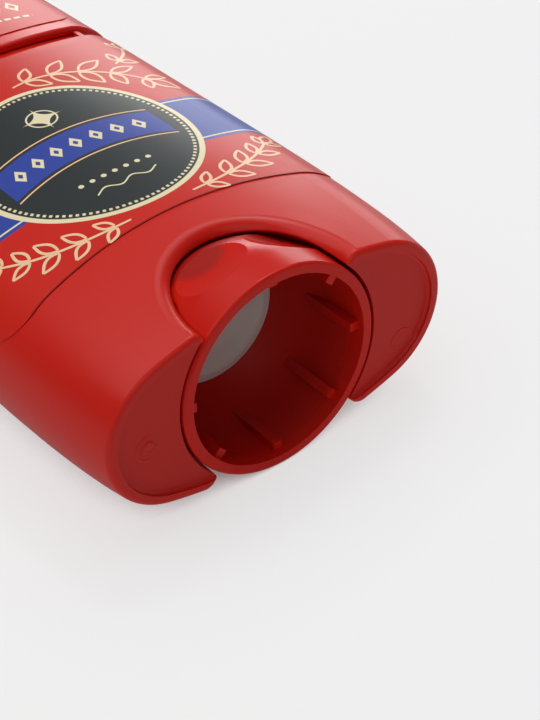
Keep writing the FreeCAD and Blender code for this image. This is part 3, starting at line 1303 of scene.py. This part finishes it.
@dataclass
class Studio:
    """Pale floor behind the lying pack, soft lamps, a plain world and the camera.

    The lamps are a large soft box and a small bright one over the label, two beyond the cap
    and two dim fills.
    """

    floor_place: float = 16.15
    floor_reach: float = 3000.0
    floor_glow: float = 0.74
    floor_bounce: float = 0.93
    contact: float = 0.016
    contact_open: float = 0.36
    sky: float = 0.1
    mirror_share: float = 0.16
    mirror_floor: float = 0.45
    even_bounce: float = 0.86
    even_share: float = 0.5
    lens: float = 90.0
    film_width: float = 36.0
    clip: Point = (0.01, 20.0)
    camera_place: Place = (-109.614, -150.718, -147.392)
    right: Place = (0.7800804, 0.0538921, -0.6233540)
    down: Place = (-0.4256914, 0.7758628, -0.4656433)
    ahead: Place = (0.4585427, 0.6285957, 0.6281768)
    boxes: Tuple[SoftBox, ...] = (
        SoftBox("key_box", (-100, -720, 280), (-100, 0, 280), 1600, 720, 6.5),
        SoftBox("spark_box", (292, -910, 292), (0, 0, 0), 150, 150, 1.0),
        SoftBox("back_box", (635, -100, 628), (0, 0, 0), 720, 290, 1.5),
        SoftBox("rim_box", (500, -215, 648), (0, 0, 0), 300, 160, 0.45),
        SoftBox("left_fill", (-900, -300, -150), (0, 0, 0), 900, 500, 0.34),
        SoftBox("front_fill", (-250, -560, -620), (0, 0, 0), 700, 500, 0.92),
    )

    def build(self) -> None:
        """Makes the stage."""
        self.floor()
        self.world()
        for box in self.boxes:
            box.build()
        self.camera()

    def floor(self) -> None:
        """Plain floor that only shows from the pack's side and keeps its shadow.

        Its matt part takes the shadow. Its glow shows an even paleness, and a painted shade of
        dark red where the gap to the pack is narrow, and gives the pack an even soft bounce.
        """
        side = np.array([-self.floor_reach, self.floor_reach])
        z, x = np.meshgrid(side, side, indexing="ij")
        grid = np.stack([x, np.full_like(x, self.floor_place), z], axis=-1) * MM
        made = grid_object("floor", [grid])
        graph = Graph("pale_floor")
        pale = Shade.FLOOR.linear
        matt = graph.node("ShaderNodeBsdfDiffuse")
        bounce = graph.mix(
            graph.ray("Is Glossy Ray"), grey(self.floor_bounce), grey(self.mirror_floor))
        graph.join(graph.mix(graph.ray("Is Camera Ray"), bounce, pale), matt.inputs[0])
        # Painted shade: where ambient occlusion finds the pack close, the floor's glow turns dark
        # red.
        contact = graph.node("ShaderNodeAmbientOcclusion")
        contact.inputs["Distance"].default_value = self.contact
        free = (Field(graph, contact.outputs["AO"]) / self.contact_open).low(1.0)
        shown = graph.mix(free, Shade.PAINTED_GAP_SHADE.linear, pale)
        soft = graph.ray("Is Diffuse Ray")
        glow = graph.node("ShaderNodeEmission")
        graph.join(graph.mix(soft, shown, grey(self.even_bounce)), glow.inputs[0])
        share = (self.seen(graph) * self.floor_glow).high(soft * self.even_share)
        front = graph.blend(share, matt, glow)
        behind = graph.node("ShaderNodeNewGeometry").outputs["Backfacing"]
        graph.end(graph.blend(behind, front, graph.node("ShaderNodeBsdfTransparent")))
        paint(made, graph.material)

    def seen(self, graph: Graph) -> Field:
        """1 for rays that show the background, in full or, for soft reflections, in part."""
        straight = graph.ray("Is Camera Ray").high(graph.ray("Is Transmission Ray"))
        return straight.high(graph.ray("Is Glossy Ray") * self.mirror_share)

    def world(self) -> None:
        """Even surroundings, shown as pale as the floor."""
        world = bpy.data.worlds.new("plain_studio")
        bpy.context.scene.world = world
        world.use_nodes = True
        graph = Graph("plain_studio", world.node_tree)
        sky = graph.node("ShaderNodeBackground")
        sky.inputs[0].default_value = grey(1.0)
        sky.inputs[1].default_value = self.sky
        back = graph.node("ShaderNodeBackground")
        back.inputs[0].default_value = Shade.BACKDROP.linear
        back.inputs[1].default_value = 1.0
        graph.end(graph.blend(self.seen(graph), sky, back))

    def camera(self) -> None:
        """The camera of the reference view: place, three axes and lens."""
        data = bpy.data.cameras.new("camera")
        data.lens, data.sensor_width = self.lens, self.film_width
        data.clip_start, data.clip_end = self.clip
        eye = bpy.data.objects.new("camera", data)
        columns = [Vector(self.right), -Vector(self.down), -Vector(self.ahead)]
        turn = Matrix(columns).transposed().to_4x4()
        eye.matrix_world = Matrix.Translation(Vector(self.camera_place) * MM) @ turn
        bpy.context.scene.collection.objects.link(eye)
        bpy.context.scene.camera = eye


def main() -> None:
    """Loads the frame, dresses each sub-assembly and builds the stage."""
    logging.basicConfig(level=logging.INFO, format="%(name)s: %(message)s")
    bpy.ops.wm.read_factory_settings(use_empty=True)
    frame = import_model()
    bpy.context.scene.view_settings.view_transform = "Standard"
    for part in (BarrelPack, KnobDrive, StickLift, LiftOffCap):
        for piece in part(frame["nodes"]).dress():
            LOG.info("%s: %s, %d faces", part.__name__, piece.name, len(piece.data.polygons))
    Studio().build()


if __name__ == "__main__":
    main()
